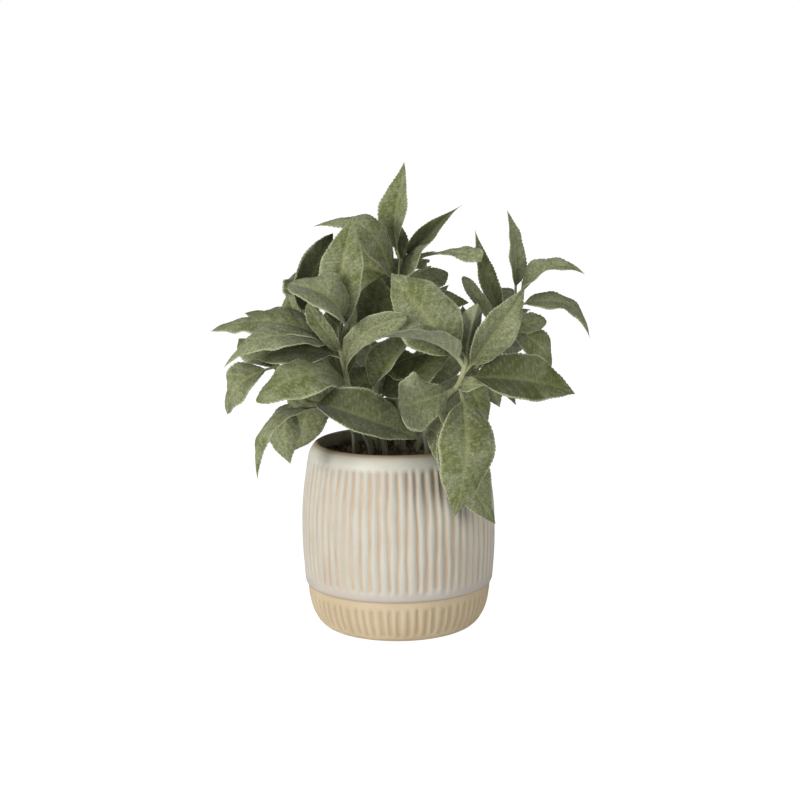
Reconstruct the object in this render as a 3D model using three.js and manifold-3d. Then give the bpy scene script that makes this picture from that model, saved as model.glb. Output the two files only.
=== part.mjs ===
// Potted sage: a bush of leafy stems standing in dark soil, in a grooved stoneware pot
// that is glazed above a step and left as bare clay below it.
// Millimetres, +Z up. The origin is the middle of the pot's flat bottom, and -Y is the front.
import * as THREE from "three";
import { mergeVertices } from "three/addons/utils/BufferGeometryUtils.js";
import Module from "manifold-3d";

// Pot
const GROOVES = 64;
const GROOVE_DEPTH = 1.0;
const GLAZED_GROOVE = { low: 31, high: 101, fade: 3 };
const CLAY_GROOVE = { low: 5, high: 23.5, fade: 2.6 };
const POT_OUTSIDE = [
  [0, 0], [34, 0], [45.4, 5], [47.6, 7.5], [51.4, 21], [51.8, 23.5], [52, 27], [53.4, 29.5], [54.1, 34.5],
  [55, 66], [51.7, 94.5], [50.9, 97.5], [49.2, 104.3], [45.6, 108], [44.2, 107.5],
];
const POT_INSIDE = [[0, 8], [38, 8], [47, 20], [50, 55], [49, 82], [46.3, 98], [44, 104]];
const MOUTH_CUT = [[43.7, 107], [43.7, 112], [0, 112]];
const POT_INSIDE_SIDES = 32;

// Soil
const GAP = 0.3;
const SOIL_TOP = 100;
const SOIL_RINGS = [44.5, 35, 25, 15];
const CRUMB_HEIGHT = 1.3;
const CRUMB_WAVES = { x: 0.9, y: 0.8, bendX: 1.3, bendY: 2, slowX: 0.4, slowY: 0.5 };
const SURFACE_MARGIN = 0.01;

// Stems and leaves
const STEM_FOOT = 76;
const STEM_BASE_RADIUS = 1.7;
const STEM_TIP_RADIUS = 1.1;
const STEM_SIDES = 5;
const STEM_STEP = 12;
const FEWEST_STEM_STEPS = 8;
const UPRIGHT_BELOW = 8;
const UPRIGHT_ABOVE = 5;
const BLADE_THICKNESS = 0.7;
const STALK_SHARE = 0.13;
const STALK_HALF_WIDTH = 0.9;
const STALK_THICKNESS = 1.3;
const STALK_FROM = 0.01;
const SMALL_LEAF = 12;
const SMALL_STALK_SHARE = 0.05;
const LOW_CONTROL = 0.33;
const HIGH_CONTROL = 0.7;
const BLADE_RISE = 0.75;
const BLADE_TAPER = 1.15;
const FEWEST_BLADE_ROWS = 2;
const WIDTH_PER_ROW = 9;
const LAST_ROW_GAP = 0.45;
const ROOT_FOLD = 28;
const TOOTH = 0.05;
const EDGE_WAVE = 2.2;
const WAVE_PER_ROW = 2.2;
const WAVE_HALF_WIDTH = 15;
const SIDE_WAVES = { right: 1, left: -0.7 };
const SUNK_ROOT = 2.5;
const HOLE_RADIUS = 2.6;
const HOLE_LENGTH = 40;
const HOLE_SIDES = 8;

// A leaf is [share of the stem's length, tip, width, face, arch at a third, arch at two thirds,
// sway, fold, twist, taper]: its upper side looks along face, and the angles are in degrees.
// Sway moves the midrib to the leaf's left: a pair gives it at a third and at two thirds.
// A pair of folds is for the right and the left half. A smaller taper makes a blunter tip.
const DRAWN_STEMS = [
  {
    name: "leafy_stem_front_left",
    route: [[-15, -10, 100], [-19, -18, 117], [-26, -30, 143], [-30, -32, 167], [-30, -31, 178],
      [-30, -31, 188]],
    leaves: [
      [0.47, [-75, -60, 141], 28, [-3, -7, 7], 27, 22, 0, -12, 0, 0.7],
      [0.47, [6, -63, 186], 14, [-3, -9, 3], 6, 6, [25, 13], 10, 50, 0.45],
      [0.77, [-93, -45, 157], 20, [-4, -6, 9], 14, 28, 0, -12, 0],
      [0.75, [-102, -20, 174], 26, [0, -5, 10], 21, 15, 0, -10, 0],
      [0.72, [-78, -30, 160], 26, [0, -6, 9], 8, 8, 0, -10, 0],
      [0.76, [-47, -50, 192], 11, [-4, -8, 4], 2, 2, 0, 10, 0, 0.7],
      [0.78, [-21, -38, 188], 8, [4, -8, 4], 2, 2, 0, 10, 0],
      [0.9, [-57, -44, 202], 30, [-2, -8, 7], 20, 28, 0, [-14, 30], 0, 0.65],
      [0.82, [-22, -37, 237], 26, [-1, -10, 1], 6, 4, 3, 12, 0],
    ],
  },
  {
    name: "leafy_stem_left",
    route: [[-24, -1, 100], [-25, -18, 118], [-34, -32, 128], [-42, -40, 135], [-54, -42, 140], [-62, -38, 150],
      [-65, -34, 158]],
    leaves: [
      [0.6, [-74, -72, 101], 15, [-6, -5, 9], 18, 31, 0, -24, 0],
      [0.72, [12, -58, 119], 30, [1, -10, 3], 20, 14, 0, [40, -5], 0],
      [0.8, [-58, -45, 104], 19, [-2, -10, 1], 5, 5, -5, -10, 0],
      [1, [-93, -30, 129], 25, [-3, -8, 6], 17, 15, 0, [-10, 12], 0],
      [0.95, [-88, -6, 168], 20, [-2, -5, 9], 6, 5, 0, -10, 0],
    ],
  },
  {
    name: "leafy_stem_front_right",
    route: [[17, -10, 100], [16, -26, 118], [25, -46, 138], [33, -57, 148], [36, -58, 156], [38, -57, 164]],
    leaves: [
      [0.84, [29, -72, 79], 31, [1, -10, 1], 14, 10, 6, [-5, -22], 0],
      [0.8, [1, -78, 141], 29, [0, -9, 6], -3, -6, 0, [30, -25], 0, 0.35],
      [0.82, [46, -66, 149], 9, [0, -8, 6], 2, 2, 0, -10, 0],
      [0.88, [95, -62, 143], 30, [1, -8, 6], 4, 6, 3, 6, 0],
      [0.94, [-9, -80, 177], 22, [1, -5, 10], 13, 9, 0, [0, 58], 0],
      [0.96, [-2, -42, 207], 34, [-1, -10, 3], 6, 9, 0, -6, 0],
      [0.98, [44, -60, 192], 19, [-3, 10, 1], 3, 3, 0, 30, 0],
      [0.98, [36, -46, 186], 14, [2, -10, 0], 2, 3, 0, 12, 0],
      [0.9, [69, -50, 198], 21, [2, -10, 1], 4, 5, 0, 12, 0],
      [0.3, [27, -62, 90], 13, [-3, -10, 2], 18, 14, 12, -10, 0],
      [0.55, [53, -50, 70], 27, [4, -10, 1], 10, 8, -6, -8, 0],
    ],
  },
  {
    name: "leafy_stem_right",
    route: [[12, 6, 100], [30, 2, 130], [53, -5, 162], [64, -11, 182], [67, -13, 192]],
    leaves: [
      [1, [62, -12, 238], 13, [6, -8, 0], 2, 2, [0, -4], 14, 0, 1.4],
      [0.86, [44, -22, 228], 12, [3, -10, 0], 3, 3, [5, 3], 14, 0, 1.5],
      [1, [104, -25, 203], 18, [10, -6, 8], 6, 22, 0, 14, 0, 1.3],
      [0.95, [107, -20, 167], 19, [0, -4, 10], 12, 26, 0, -8, 0, 1.4],
      [0.82, [84, -12, 176], 12, [-3, -8, 2], 3, 3, 0, 10, 0, 0.7],
      [0.86, [87, -8, 150], 19, [3, -9, 4], 8, 12, 0, -10, 0],
      [0.8, [38, 6, 200], 8, [0, -10, 3], 3, 3, 0, 10, 0, 0.6],
      [0.55, [57, -24, 130], 17, [2, -9, 4], 6, 6, 0, -8, 0],
      [0.5, [50, -34, 122], 16, [-2, -9, 4], 7, 7, 0, -8, 0],
      [0.9, [60, 42, 184], 20, [0, -3, 9], 6, 6, 0, -8, 0],
      [0.82, [62, 36, 190], 24, [0, -3, 9], 8, 8, 0, -8, 0],
      [0.66, [70, 40, 150], 23, [-2, -3, 9], 8, 8, 0, -8, 0],
    ],
  },
  {
    name: "leafy_stem_middle",
    route: [[3, 8, 100], [1, 5, 142], [1, 0, 182], [4, -5, 212]],
    leaves: [
      [1, [6, -5, 265], 20, [-3, -10, 1], 2, 2, [8, 0], [36, 5], 0, 1.3],
      [0.99, [4, 4, 229], 9, [0, -10, 3], 1, 1, 0, 10, 0],
      [0.99, [38, -8, 241], 20, [-3, -9, 1], 3, 4, 2, [35, 58], 0, 2.2],
      [0.85, [-45, -8, 230], 21, [-1, -7, 8], 13, 54, 0, -10, 0],
      [0.96, [48, -32, 214], 10, [0, -1, 10], 9, 6, 0, 0, 130, 0.3],
      [0.9, [-30, 4, 213], 26, [-2, -9, 4], 5, 5, 0, -8, 0],
      [0.86, [19, -20, 221], 20, [-2, -5, 8], 4, 4, 0, -8, 0],
      [0.75, [41, -12, 187], 20, [0, -8, 6], 5, 6, 0, -8, 0],
      [0.8, [30, 8, 202], 15, [0, -9, 3], 4, 4, 0, 10, 0, 0.8],
      [0.9, [14, 40, 205], 22, [0, -4, 9], 8, 8, 0, -8, 0],
      [0.86, [-32, 30, 206], 24, [3, -2, 9], 8, 8, 0, -8, 0],
      [0.74, [-10, 42, 204], 25, [1, -3, 9], 8, 8, 0, -8, 0],
      [0.32, [-34, 18, 139], 24, [-1, -8, 5], 8, 8, 0, -8, 0],
      [0.34, [44, 14, 158], 26, [1, -8, 5], 8, 8, 0, -8, 0],
      [0.16, [-15, 15, 124], 18, [-1, -8, 5], 6, 6, 0, -8, 0],
      [0.18, [36, 32, 119], 24, [1, -8, 5], 6, 6, 0, -8, 0],
    ],
  },
  {
    name: "leafy_stem_centre_low",
    route: [[-7, -4, 100], [-11, -14, 122], [-12, -20, 139], [-13, -16, 160], [-14, -13, 172]],
    leaves: [
      [0.5, [13, -30, 176], 26, [-2, -9, 5], 5, 5, [5, 0], [55, 8], 0],
      [0.5, [30, -24, 160], 22, [0, -8, 6], 5, 6, 0, -8, 0],
      [0.97, [-8, -28, 204], 30, [0, -10, 2], 6, 5, 0, 8, 0],
      [0.75, [20, -10, 150], 20, [0, -8, 6], 5, 6, 0, -8, 0],
    ],
  },
  {
    name: "leafy_stem_back_left",
    route: [[-11, 8, 100], [-27, 5, 131], [-40, 0, 154], [-50, -5, 169], [-55, -6, 180]],
    leaves: [
      [1, [-34, -2, 226], 29, [6, -7, 2], 5, 6, 7, 8, 0],
      [0.95, [-60, 0, 192], 15, [-3, -8, 5], 4, 4, 0, 8, 0],
      [0.92, [-74, 8, 182], 18, [-1, -6, 8], 5, 4, 0, -8, 0],
      [0.9, [-86, 14, 180], 20, [-1, -4, 10], 6, 5, 0, -8, 0],
      [0.7, [-60, 6, 101], 27, [-2, -9, 3], 5, 6, 3, -8, 0],
      [0.97, [-54, 34, 202], 23, [2, -3, 9], 8, 8, 0, -8, 0],
      [0.72, [-84, 24, 158], 24, [1, -3, 9], 8, 8, 0, -8, 0],
      [0.45, [-40, 20, 180], 24, [-1, -8, 4], 6, 6, 0, -8, 0],
    ],
  },
];

// Stems whose leaves grow in opposite pairs, each pair a quarter turn round from the last.
// The first pair's leaves point along turn, and spread is the angle between a leaf and the stem.
const PAIRED_STEMS = [
  {
    name: "leafy_stem_back",
    route: [[0, 22, 100], [0, 34, 128], [2, 48, 155], [3, 54, 178]],
    pairs: 3, first: 0.4, length: 58, width: 25, turn: 45, spread: 60, seed: 11,
  },
  {
    name: "leafy_stem_back_right",
    route: [[14, 18, 100], [28, 32, 122], [46, 44, 142], [56, 50, 162]],
    pairs: 3, first: 0.54, length: 52, width: 24, turn: 45, spread: 58, seed: 23,
  },
  {
    name: "leafy_stem_back_far_left",
    route: [[-16, 18, 100], [-28, 29, 124], [-50, 44, 142], [-62, 50, 156]],
    pairs: 3, first: 0.42, length: 56, width: 25, turn: 60, spread: 62, seed: 37,
  },
  {
    name: "leafy_stem_back_low",
    route: [[4, 32, 100], [10, 50, 114], [14, 66, 122], [15, 78, 130]],
    pairs: 3, first: 0.62, length: 46, width: 22, turn: 0, spread: 60, seed: 41,
  },
];
const TOP_PAIR_SIZE = 0.72;
const TOP_PAIR_CLOSING = 18;
const PAIR_ARCH = 9;
const PAIR_FOLD = -8;
const PAIR_FACE_LEAN = 0.2;
const TURN_RANGE = 24;
const LENGTH_RANGE = [0.9, 1.1];
const WIDTH_RANGE = [0.92, 1.08];

const wasm = await Module();
wasm.setup();

const MERGE_DISTANCE = 1e-4;
const DRAW_FACTOR = 1664525;
const DRAW_STEP = 1013904223;
const DRAW_SPAN = 2 ** 32;

const radians = THREE.MathUtils.degToRad;
const between = THREE.MathUtils.lerp;
const vector = (values) => new THREE.Vector3(...values);
const pairOf = (value) => (Array.isArray(value) ? value : [value, value]);

// A manifold solid from a closed geometry whose faces point out.
function solidOf(geometry) {
  geometry.deleteAttribute("normal");
  geometry.deleteAttribute("uv");
  const merged = mergeVertices(geometry, MERGE_DISTANCE);
  return new wasm.Manifold(new wasm.Mesh({
    numProp: 3,
    vertProperties: merged.attributes.position.array,
    triVerts: new Uint32Array(merged.index.array),
  }));
}

function geometryOf(solid) {
  const made = solid.getMesh();
  const geometry = new THREE.BufferGeometry();
  geometry.setAttribute("position", new THREE.BufferAttribute(made.vertProperties, 3));
  geometry.setIndex(new THREE.BufferAttribute(made.triVerts, 1));
  return geometry;
}

// Closed rows of points, joined by quads and closed by a fan at each end. The second half of a row
// is split the other way, so that a thin blade's two faces are made of like triangles.
function skin(rows, start, end) {
  const sides = rows[0].length;
  const points = [start, ...rows.flat(), end];
  const last = points.length - 1;
  const at = (row, side) => 1 + row * sides + (side % sides);
  const faces = [];
  for (let side = 0; side < sides; side++) {
    faces.push(0, at(0, side + 1), at(0, side));
    faces.push(last, at(rows.length - 1, side), at(rows.length - 1, side + 1));
    for (let row = 0; row + 1 < rows.length; row++) {
      const [a, b, c, d] = [at(row, side), at(row, side + 1), at(row + 1, side + 1), at(row + 1, side)];
      if (side < sides / 2) faces.push(a, b, c, a, c, d);
      else faces.push(a, b, d, b, c, d);
    }
  }
  const geometry = new THREE.BufferGeometry();
  geometry.setAttribute("position", new THREE.Float32BufferAttribute(points.flatMap((p) => p.toArray()), 3));
  geometry.setIndex(faces);
  return solidOf(geometry);
}

function stemCurve(route) {
  const [x, y] = route[0];
  const upright = [STEM_FOOT, SOIL_TOP - UPRIGHT_BELOW, SOIL_TOP + UPRIGHT_ABOVE].map((z) => [x, y, z]);
  return new THREE.CatmullRomCurve3([...upright, ...route.slice(1)].map(vector), false, "centripetal");
}

// The place on the curve at a share of the stem's length above the soil.
function shareOf(curve, share) {
  const buried = (SOIL_TOP - STEM_FOOT) / curve.getLength();
  const end = 1 - SUNK_ROOT / curve.getLength();
  return buried + (end - buried) * share;
}

function stemSolid(curve) {
  const steps = Math.max(FEWEST_STEM_STEPS, Math.round(curve.getLength() / STEM_STEP));
  const frames = curve.computeFrenetFrames(steps, false);
  const rows = frames.normals.map((normal, step) => {
    const centre = curve.getPointAt(step / steps);
    const radius = between(STEM_BASE_RADIUS, STEM_TIP_RADIUS, step / steps);
    return Array.from({ length: STEM_SIDES }, (_, side) => {
      const angle = (2 * Math.PI * side) / STEM_SIDES;
      return centre.clone()
        .addScaledVector(normal, radius * Math.cos(angle))
        .addScaledVector(frames.binormals[step], radius * Math.sin(angle));
    });
  });
  return skin(rows, curve.getPointAt(0), curve.getPointAt(1));
}

// Half the blade's width at a share of its length, as a share of its widest half.
function bladeOutline(share, taper) {
  const widest = BLADE_RISE / (BLADE_RISE + taper);
  const shape = (s) => Math.pow(s, BLADE_RISE) * Math.pow(1 - s, taper);
  return shape(share) / shape(widest);
}

// The leaf's midrib with the direction that its upper side faces at each share of its length.
function leafFrame(base, row) {
  const [, tipPoint, , facePoint, archLow, archHigh, sway, , twist] = row;
  const [swayLow, swayHigh] = pairOf(sway);
  const tip = vector(tipPoint);
  const chord = tip.clone().sub(base);
  const along = chord.clone().normalize();
  const face = vector(facePoint);
  face.addScaledVector(along, -face.dot(along)).normalize();
  const beside = face.clone().cross(along);
  const control = (share, arch, aside) => base.clone().addScaledVector(chord, share)
    .addScaledVector(face, arch).addScaledVector(beside, aside);
  const low = control(LOW_CONTROL, archLow, swayLow);
  const high = control(HIGH_CONTROL, archHigh, swayHigh);
  const midrib = new THREE.CubicBezierCurve3(base, low, high, tip);
  return (share) => {
    const tangent = midrib.getTangent(share);
    const up = face.clone().addScaledVector(tangent, -face.dot(tangent)).normalize();
    up.applyAxisAngle(tangent, radians(twist) * (share - 0.5));
    return { point: midrib.getPoint(share), up, across: up.clone().cross(tangent) };
  };
}

// One half of a leaf's cross-section: its edge, and the direction square to it on its upper side.
function halfSection({ point, up, across }, side, half, fold, wave) {
  const edge = point.clone().addScaledVector(across, side * half * Math.cos(fold))
    .addScaledVector(up, half * Math.sin(fold) + wave * (side < 0 ? SIDE_WAVES.right : SIDE_WAVES.left));
  const out = up.clone().multiplyScalar(Math.cos(fold)).addScaledVector(across, -side * Math.sin(fold));
  return { edge, out };
}

// A leaf's cross-section as a ring of points, each half tilted by its own fold, of even thickness.
function leafSection(place, half, thickness, [rightFold, leftFold], wave) {
  const right = halfSection(place, -1, half, rightFold, wave);
  const left = halfSection(place, 1, half, leftFold, wave);
  const middle = right.out.clone().add(left.out).normalize();
  middle.divideScalar(middle.dot(right.out));
  const points = [left.edge, place.point, right.edge];
  const outs = [left.out, middle, right.out];
  const raised = (amount) => points.map((p, index) => p.clone().addScaledVector(outs[index], amount));
  return [...raised(thickness / 2), ...raised(-thickness / 2).reverse()];
}

// One leaf: a stalk that widens into a folded, toothed and waved blade of even thickness.
function leafSolid(base, row, number) {
  const width = row[2];
  const taper = row[9] ?? BLADE_TAPER;
  const frameAt = leafFrame(base, row);
  const bladeRows = Math.round(FEWEST_BLADE_ROWS + width / WIDTH_PER_ROW);
  const stalkShare = width < SMALL_LEAF ? SMALL_STALK_SHARE : STALK_SHARE;
  const stalkRow = (share) => leafSection(frameAt(share), STALK_HALF_WIDTH, STALK_THICKNESS, [0, 0], 0);
  const bladeRow = (step) => {
    const share = step / (bladeRows + LAST_ROW_GAP);
    const tooth = 1 + TOOTH * (step % 2 ? 1 : -1);
    const half = Math.max(STALK_HALF_WIDTH, (width / 2) * bladeOutline(share, taper) * tooth);
    const wave = EDGE_WAVE * Math.sin(WAVE_PER_ROW * step + number) * (half / WAVE_HALF_WIDTH);
    const folds = pairOf(row[7]).map((fold) => radians(fold + ROOT_FOLD * (1 - share) ** 2));
    return leafSection(frameAt(between(stalkShare, 1, share)), half, BLADE_THICKNESS, folds, wave);
  };
  const blade = Array.from({ length: bladeRows }, (_, index) => bladeRow(index + 1));
  return skin([stalkRow(STALK_FROM), stalkRow(stalkShare), ...blade], frameAt(0).point, frameAt(1).point);
}

// A repeatable draw between 0 and 1.
function seededDraw(seed) {
  let state = seed;
  return () => {
    state = (state * DRAW_FACTOR + DRAW_STEP) % DRAW_SPAN;
    return state / DRAW_SPAN;
  };
}

// Rows for opposite pairs of leaves, in the same form as the rows listed by hand.
function pairedRows(stem, curve) {
  const draw = seededDraw(stem.seed);
  const rows = [];
  for (let pair = 0; pair < stem.pairs; pair++) {
    const way = pair / (stem.pairs - 1);
    const share = stem.first + (1 - stem.first) * way;
    const at = shareOf(curve, share);
    const base = curve.getPointAt(at);
    const stemway = curve.getTangentAt(at);
    const size = between(1, TOP_PAIR_SIZE, way);
    const spread = radians(stem.spread - TOP_PAIR_CLOSING * way);
    for (const half of [0, 180]) {
      const turn = radians(stem.turn + 90 * pair + half + TURN_RANGE * (draw() - 0.5));
      const flat = new THREE.Vector3(Math.cos(turn), Math.sin(turn), 0);
      const out = flat.addScaledVector(stemway, -flat.dot(stemway)).normalize();
      const length = stem.length * size * between(...LENGTH_RANGE, draw());
      const tip = base.clone()
        .addScaledVector(stemway, length * Math.cos(spread))
        .addScaledVector(out, length * Math.sin(spread));
      const face = stemway.clone().addScaledVector(out, -PAIR_FACE_LEAN);
      const width = stem.width * size * between(...WIDTH_RANGE, draw());
      rows.push([share, tip.toArray(), width, face.toArray(), PAIR_ARCH * size, PAIR_ARCH, 0, PAIR_FOLD, 0]);
    }
  }
  return rows;
}

function leafyStem(stem) {
  const curve = stemCurve(stem.route);
  const rows = stem.leaves ?? pairedRows(stem, curve);
  const leaves = rows.map((row, number) =>
    leafSolid(curve.getPointAt(shareOf(curve, row[0])), row, number));
  return leaves.reduce((joined, leaf) => joined.add(leaf), stemSolid(curve));
}

// A bump between 0 at the ends of a band of grooves and 1 within it.
function grooveStrength(z, band) {
  const rise = (z - band.low) / band.fade;
  const fall = (band.high - z) / band.fade;
  return THREE.MathUtils.clamp(Math.min(rise, fall), 0, 1);
}

function potSolid() {
  const sides = 2 * GROOVES;
  const points = POT_OUTSIDE.map(([r, z]) => new THREE.Vector2(r, z));
  points.push(new THREE.Vector2(0, POT_OUTSIDE.at(-1)[1]));
  const outside = new THREE.LatheGeometry(points, sides).rotateX(Math.PI / 2);
  const position = outside.attributes.position;
  for (let index = 0; index < position.count; index++) {
    const side = Math.floor(index / points.length);
    const z = position.getZ(index);
    const strength = Math.max(grooveStrength(z, GLAZED_GROOVE), grooveStrength(z, CLAY_GROOVE));
    const radius = Math.hypot(position.getX(index), position.getY(index));
    const carved = side % 2 && radius > 0;
    const scale = carved ? 1 - (strength * GROOVE_DEPTH) / radius : 1;
    position.setX(index, position.getX(index) * scale);
    position.setY(index, position.getY(index) * scale);
  }
  const hollow = new THREE.LatheGeometry(
    [...POT_INSIDE, ...MOUTH_CUT].map(([r, z]) => new THREE.Vector2(r, z)), POT_INSIDE_SIDES,
  ).rotateX(Math.PI / 2);
  return solidOf(outside).subtract(solidOf(hollow));
}

// How far the soil's crumbly top stands above its level: two crossed waves, bent by slower ones.
function crumbHeight(x, y) {
  const { bendX, bendY, slowX, slowY } = CRUMB_WAVES;
  const first = Math.sin(CRUMB_WAVES.x * x + bendY * Math.sin(slowY * y));
  const second = Math.cos(CRUMB_WAVES.y * y - bendX * Math.sin(slowX * x));
  return CRUMB_HEIGHT * first * second;
}

// Soil that fills the pot, with a crumbly top and a plain hole round each stem.
function soilSolid(stems) {
  const wall = POT_INSIDE.filter(([r, z]) => r > 0 && z < SOIL_TOP)
    .map(([r, z]) => [r - GAP, z + GAP]);
  const profile = [[0, wall[0][1]], ...wall, ...SOIL_RINGS.map((r) => [r, SOIL_TOP]), [0, SOIL_TOP]];
  const geometry = new THREE.LatheGeometry(
    profile.map(([r, z]) => new THREE.Vector2(r, z)), POT_INSIDE_SIDES,
  ).rotateX(Math.PI / 2);
  const position = geometry.attributes.position;
  for (let index = 0; index < position.count; index++) {
    const [x, y, z] = [position.getX(index), position.getY(index), position.getZ(index)];
    if (z > SOIL_TOP - SURFACE_MARGIN) position.setZ(index, z + crumbHeight(x, y));
  }
  const hole = new THREE.CylinderGeometry(HOLE_RADIUS, HOLE_RADIUS, HOLE_LENGTH, HOLE_SIDES)
    .rotateX(Math.PI / 2);
  return stems.reduce((soil, { route: [[x, y]] }) => {
    const drill = hole.clone().translate(x, y, STEM_FOOT - GAP + HOLE_LENGTH / 2);
    return soil.subtract(solidOf(drill));
  }, solidOf(geometry));
}

function meshOf(name, solid, material) {
  const mesh = new THREE.Mesh(geometryOf(solid), material);
  mesh.name = name;
  return mesh;
}

const glaze = new THREE.MeshStandardMaterial({ color: 0xd9d6ca, roughness: 0.35 });
const earth = new THREE.MeshStandardMaterial({ color: 0x4a3f30, roughness: 0.95 });
const foliage = new THREE.MeshStandardMaterial({ color: 0x7f8763, roughness: 0.85 });

const stems = [...DRAWN_STEMS, ...PAIRED_STEMS];
const pottedSage = new THREE.Group();
pottedSage.add(meshOf("pot", potSolid(), glaze));
pottedSage.add(meshOf("soil", soilSolid(stems), earth));
for (const stem of stems) pottedSage.add(meshOf(stem.name, leafyStem(stem), foliage));

export default pottedSage;
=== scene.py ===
"""A potted sage: felted grey-green leaves on square stems, dark soil, and a grooved stoneware pot that is
glazed above a step and bare clay below it. Metres, +Z up, the pot's foot at the origin, -Y the front."""

import math

import bmesh
import bpy
import numpy as np
from mathutils import Euler, Matrix, Vector, noise


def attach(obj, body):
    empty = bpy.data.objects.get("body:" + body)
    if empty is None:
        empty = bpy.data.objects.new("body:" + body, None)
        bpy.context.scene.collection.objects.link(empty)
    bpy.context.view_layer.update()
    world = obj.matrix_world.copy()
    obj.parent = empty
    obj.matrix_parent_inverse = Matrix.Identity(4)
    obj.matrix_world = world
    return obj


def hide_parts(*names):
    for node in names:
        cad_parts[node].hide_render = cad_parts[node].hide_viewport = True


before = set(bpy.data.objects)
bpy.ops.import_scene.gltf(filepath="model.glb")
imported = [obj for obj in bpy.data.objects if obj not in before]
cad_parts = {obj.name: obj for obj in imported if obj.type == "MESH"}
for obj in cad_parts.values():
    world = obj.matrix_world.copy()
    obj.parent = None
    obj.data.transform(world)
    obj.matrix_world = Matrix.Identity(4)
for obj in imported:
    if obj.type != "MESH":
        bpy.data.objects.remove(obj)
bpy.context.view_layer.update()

MM = 0.001

# Camera, worked out from the ellipses of the pot's lip and step in the photograph
CAMERA_PLACE_MM = (1.89, -1000.0, 295.0)
CAMERA_DOWN = math.radians(9.315)
CAMERA_ROLL = math.radians(0.789)
LENS_MM = 80.58
FILM_MM = 36
NEAREST_SEEN = 0.01

# Pot outlines as radius and height in millimetres
CLAY_OUTLINE = [
    (0, 0), (30, 0), (34, 0), (37, 0.9), (43, 3), (46.3, 6), (48.7, 10), (50.5, 15), (51.5, 20), (51.9, 24),
    (52, 27),
]
GLAZE_OUTLINE = [
    (52, 27), (52.9, 27.6), (53.6, 30.5), (54.1, 36), (54.7, 45), (55, 58), (54.9, 66), (54.5, 73),
    (53.9, 79), (52.9, 87), (51.9, 93), (51, 98.5), (50, 102.5), (48.4, 105.5), (47, 107.2), (45.6, 108),
    (44.4, 107.6), (43.9, 106.4), (44.2, 104), (46.3, 98), (48.8, 84), (49.4, 75),
]
INSIDE_OUTLINE = [(49.4, 75), (49.8, 55), (47, 20), (38, 8.2), (0, 8.2)]
CLAY_SPACING = 1.6
GLAZE_SPACING = 1.5
INSIDE_SPACING = 6
POT_RADIUS = 55
CLAY_TOP = 27
SAME_HEIGHT = 0.01
WALL_WAVE = {"depth": 0.1, "round": 3, "up": 0.05}

# Carved grooves. How far one leans, bends and quivers is a share of their pitch, its bands start and end
# unevenly by some millimetres, and its width changes by shares of itself.
GROOVES = 64
STEPS_PER_GROOVE = 10
GROOVE_DEPTH = 0.9
GROOVE_HALF_WIDTH = 1.45
GLAZED_GROOVE = {"low": 31, "high": 101, "fade": 3}
CLAY_GROOVE = {"low": 5, "high": 23.5, "fade": 2.6}
GLAZED_UNEVEN = 1.1
CLAY_UNEVEN = 0.9
TOP_UNEVEN = 0.6
WANDER_HEIGHT = 50
GROOVE_LEAN = 0.09
GROOVE_BEND = {"size": 0.07, "wave": 4.1, "shift": 3}
GROOVE_QUIVER = {"size": 0.035, "wave": 11, "shift": 9}
GROOVE_BROADER = 0.16
GROOVE_SWELLING = {"size": 0.12, "wave": 6.3, "shift": 6}
GROOVE_SEED = 64

# Soil, its rolling top and its grain, and the crumbs on it
SOIL_TOP = 100
SOIL_GAP = 0.3
SOIL_WALL = [(38, 8), (47, 20), (50, 55), (49, 82), (46.3, 98), (45.8, 99.6)]
SOIL_SIDES = 180
SOIL_RINGS = 46
SOIL_EDGE = 3
SOIL_ROLLING = {"per_mm": 0.055, "layer": 3.1, "roughness": 0.8, "finer": 2.0, "octaves": 3, "height": 1.6}
SOIL_GRAIN = {"per_mm": 0.35, "layer": 8.7, "roughness": 0.6, "finer": 2.1, "octaves": 4, "height": 0.9}
CRUMBS = 900
CRUMB_REACH = 44.2
CRUMB_LIMIT = 45
CRUMB_SMALLEST = 0.5
CRUMB_GROWTH = 1.6
CRUMB_STRETCH = (0.7, 1.25)
CRUMB_BUMP = 0.2
CRUMB_HIGHEST = 2.2
CRUMB_SHOWN = 0.25
CRUMB_SEED = 5

# A whole turn for random draws, in radians
ROUND_TURN = 6.28

# Stems, as in the solids
STEM_FOOT = 76
UPRIGHT_BELOW = 8
UPRIGHT_ABOVE = 5
STEM_BASE_RADIUS = 1.7
STEM_TIP_RADIUS = 1.1
STEM_SIDES = 16
STEM_STEP = 1.2
STEM_SQUARENESS = 0.07
NODE_SWELL = 0.28
NODE_REACH = 2.2
STEM_END_ROUND = 2
STEM_END_LEAST = 0.02
WAY_STEP = 0.002
SUNK_ROOT = 2.5

# Leaves, as in the solids: a stalk, and a blade whose width rises and tapers
STALK_SHARE = 0.13
SMALL_STALK_SHARE = 0.05
STALK_HALF_WIDTH = 0.9
STALK_THICKNESS = 1.3
SMALL_LEAF = 12
LOW_CONTROL = 0.33
HIGH_CONTROL = 0.7
OUTLINE_RISE = 0.75
TAPER = 1.15
ROOT_FOLD = 28
EDGE_WAVE = 2.2
WAVE_PER_ROW = 2.2
WAVE_HALF_WIDTH = 15
SIDE_WAVES = (1.0, -0.7)
FEWEST_BLADE_ROWS = 2
WIDTH_PER_ROW = 9
LAST_ROW_GAP = 0.45

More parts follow.
